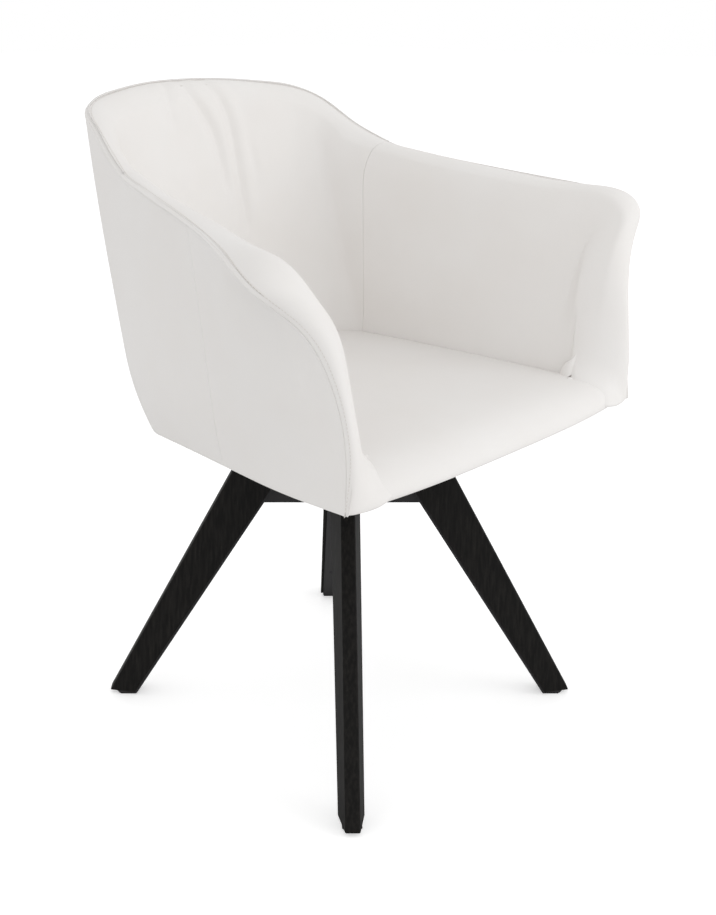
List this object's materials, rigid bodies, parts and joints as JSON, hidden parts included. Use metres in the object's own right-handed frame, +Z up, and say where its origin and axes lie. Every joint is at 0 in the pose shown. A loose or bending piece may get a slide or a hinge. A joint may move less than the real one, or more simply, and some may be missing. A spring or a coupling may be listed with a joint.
{
  "type": "swivel armchair",
  "caption": "Leather tub armchair with flared arms that swivels on a caged ball race over splayed wooden legs with steel straps.",
  "frame": {"origin": "on the floor, on the swivel axis", "axes": "+Z up along the swivel axis, the chair faces -Y, +X is the sitter's left"},
  "size_m": [0.7158, 0.59, 0.8315],
  "materials": {
    "black_oak": "black stain, open grain, low sheen",
    "grey_steel": "dark grey powder coat, satin",
    "glide_felt": "matt black pad",
    "screw_steel": "dark zinc",
    "bush_plastic": "natural acetal",
    "race_steel": "ground",
    "cage_brass": "pressed sheet",
    "white_leather": "off-white, smooth, semi-matt",
    "shell_plastic": "moulded, black",
    "dust_fabric": "black non-woven"
  },
  "bodies": {
    "base": {"leg_rear_left": "black_oak", "leg_rear_right": "black_oak", "leg_front_right": "black_oak", "leg_front_left": "black_oak", "leg_strap_rear_left": "grey_steel", "leg_strap_rear_right": "grey_steel", "leg_strap_front_right": "grey_steel", "leg_strap_front_left": "grey_steel", "foot_glide_rear_left": "glide_felt", "foot_glide_rear_right": "glide_felt", "foot_glide_front_right": "glide_felt", "foot_glide_front_left": "glide_felt", "strap_screws": "screw_steel", "hub_screws": "screw_steel", "cross_plate_lower": "grey_steel", "cross_plate_upper": "grey_steel", "hub_plate": "grey_steel", "hub_tube": "grey_steel", "upper_bush": "bush_plastic", "lower_bush": "bush_plastic", "lower_race": "race_steel"},
    "ball_ring": {"bearing_balls": "race_steel", "ball_cage": "cage_brass"},
    "seat": {"rake_collar": "grey_steel", "seat_plate": "grey_steel", "seat_plate_bolts": "screw_steel", "tee_nuts": "screw_steel", "thrust_washer": "screw_steel", "retaining_ring": "screw_steel", "upper_race": "race_steel", "spindle": "race_steel", "outer_back_cover": "white_leather", "outer_arm_cover_left": "white_leather", "outer_arm_cover_right": "white_leather", "inner_back_pad": "white_leather", "inner_arm_pad_left": "white_leather", "inner_arm_pad_right": "white_leather", "rim_roll_left": "white_leather", "rim_roll_right": "white_leather", "rim_roll_back": "white_leather", "seat_cushion": "white_leather", "tub_shell": "shell_plastic", "dust_cover": "dust_fabric"}
  },
  "joints": [
    {"name": "swivel", "type": "hinge", "parent": "base", "child": "seat", "pos_m": [0, 0, 0.37], "axis": [0, 0, 1], "continuous": true},
    {"name": "cage_roll", "type": "hinge", "parent": "base", "child": "ball_ring", "pos_m": [0, 0, 0.37], "axis": [0, 0, 1], "continuous": true}
  ],
  "couplings": [
    {"joint": "cage_roll", "follows": "swivel", "ratio": 0.5}
  ]
}
